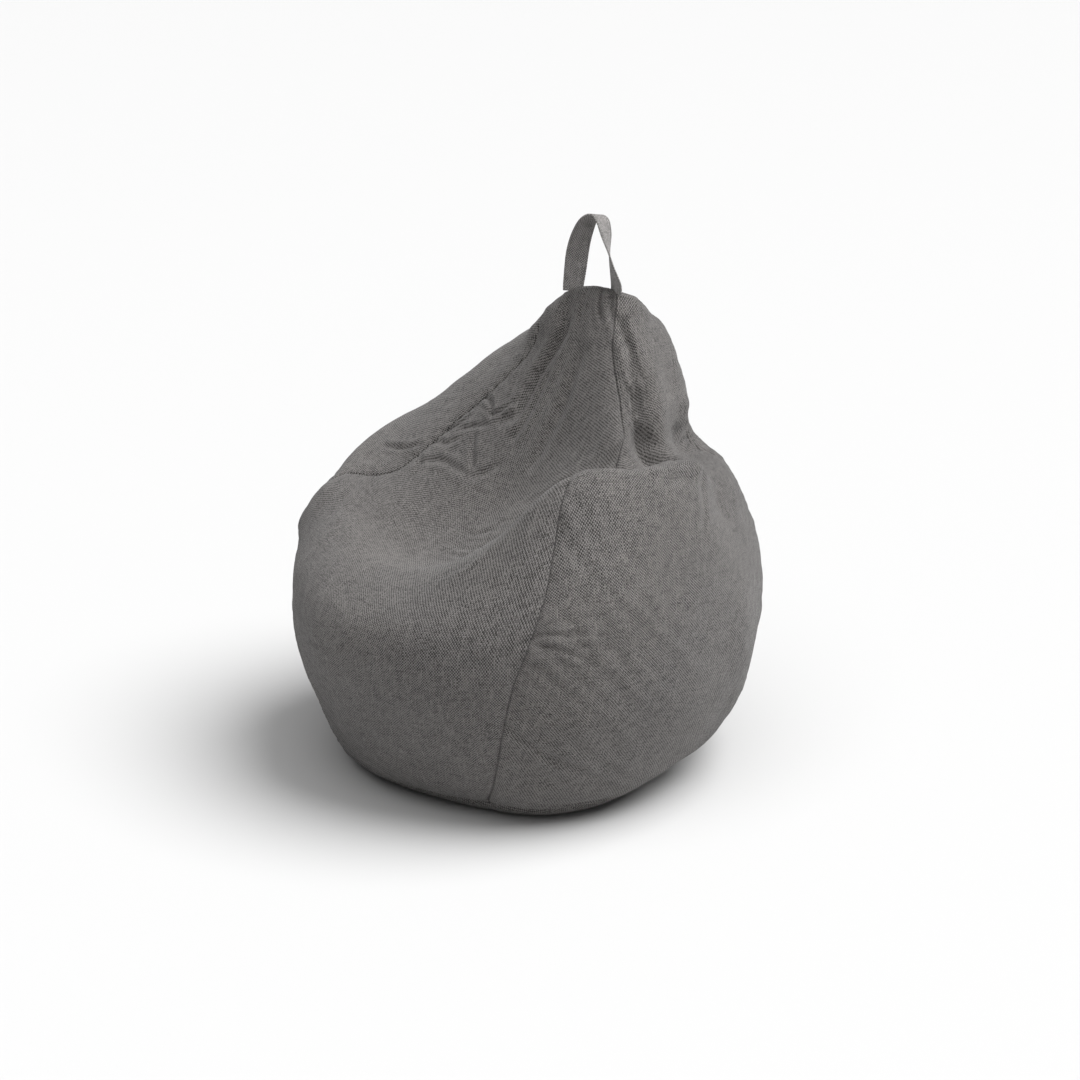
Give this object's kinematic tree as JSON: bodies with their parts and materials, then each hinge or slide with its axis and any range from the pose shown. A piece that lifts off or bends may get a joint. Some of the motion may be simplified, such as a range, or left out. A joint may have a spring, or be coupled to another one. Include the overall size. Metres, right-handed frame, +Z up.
{
  "type": "bean bag chair",
  "caption": "Teardrop bean bag chair: fabric gores slumped into a seat and a backrest, small top cap with a carry strap, zipped base, liner and loose filling.",
  "frame": {"origin": "on the floor under the middle of the belly", "axes": "+Z up; a sitter faces -Y; +X to the right as seen from the front"},
  "size_m": [0.7959, 0.7947, 0.9278],
  "materials": {
    "cover_fabric": "grey melange plain weave, matte",
    "liner_fabric": "white nonwoven lining, matte",
    "beads": "expanded polystyrene beads",
    "zip_tape": "woven zip tape",
    "zip_coil": "nylon coil",
    "liner_tape": "woven zip tape",
    "liner_coil": "nylon coil",
    "zip_metal": "nickel plated"
  },
  "bodies": {
    "sack": {"cover_right_panel": "cover_fabric", "cover_back_panel": "cover_fabric", "cover_left_panel": "cover_fabric", "cover_front_panel": "cover_fabric", "cover_top_cap": "cover_fabric", "cover_base_front": "cover_fabric", "cover_base_back": "cover_fabric", "liner_right_panel": "liner_fabric", "liner_back_panel": "liner_fabric", "liner_left_panel": "liner_fabric", "liner_front_panel": "liner_fabric", "liner_top_cap": "liner_fabric", "liner_base_front": "liner_fabric", "liner_base_back": "liner_fabric", "bead_filling": "beads", "zip_tape_front": "zip_tape", "zip_coil_front": "zip_coil", "zip_tape_back": "zip_tape", "zip_coil_back": "zip_coil", "zip_open_stop": "zip_metal", "zip_closed_stop": "zip_metal", "liner_zip_tape_front": "liner_tape", "liner_zip_coil_front": "liner_coil", "liner_zip_tape_back": "liner_tape", "liner_zip_coil_back": "liner_coil", "liner_zip_open_stop": "zip_metal", "liner_zip_closed_stop": "zip_metal"},
    "zip_slider": {"zip_slider": "zip_metal"},
    "zip_pull": {"zip_pull": "zip_metal"},
    "liner_zip_slider": {"liner_zip_slider": "zip_metal"},
    "handle": {"carry_handle": "cover_fabric"}
  },
  "joints": [
    {"name": "zip_slide", "type": "slide", "parent": "sack", "child": "zip_slider", "axis": [-1, 0, 0], "range_m": [0, 0.408]},
    {"name": "zip_pull_hinge", "type": "hinge", "parent": "zip_slider", "child": "zip_pull", "pos_m": [0.2166, 0, 0.0046], "axis": [0, -1, 0], "range_deg": [0, 120]},
    {"name": "liner_zip_slide", "type": "slide", "parent": "sack", "child": "liner_zip_slider", "axis": [-1, 0, 0], "range_m": [0, 0.408]},
    {"name": "handle_flop", "type": "hinge", "parent": "sack", "child": "handle", "pos_m": [0.02746, 0.1357, 0.80592], "axis": [0.9584, 0.2778, 0.0648], "range_deg": [-80, 80], "stiffness_Nm_per_rad": 0.03}
  ]
}
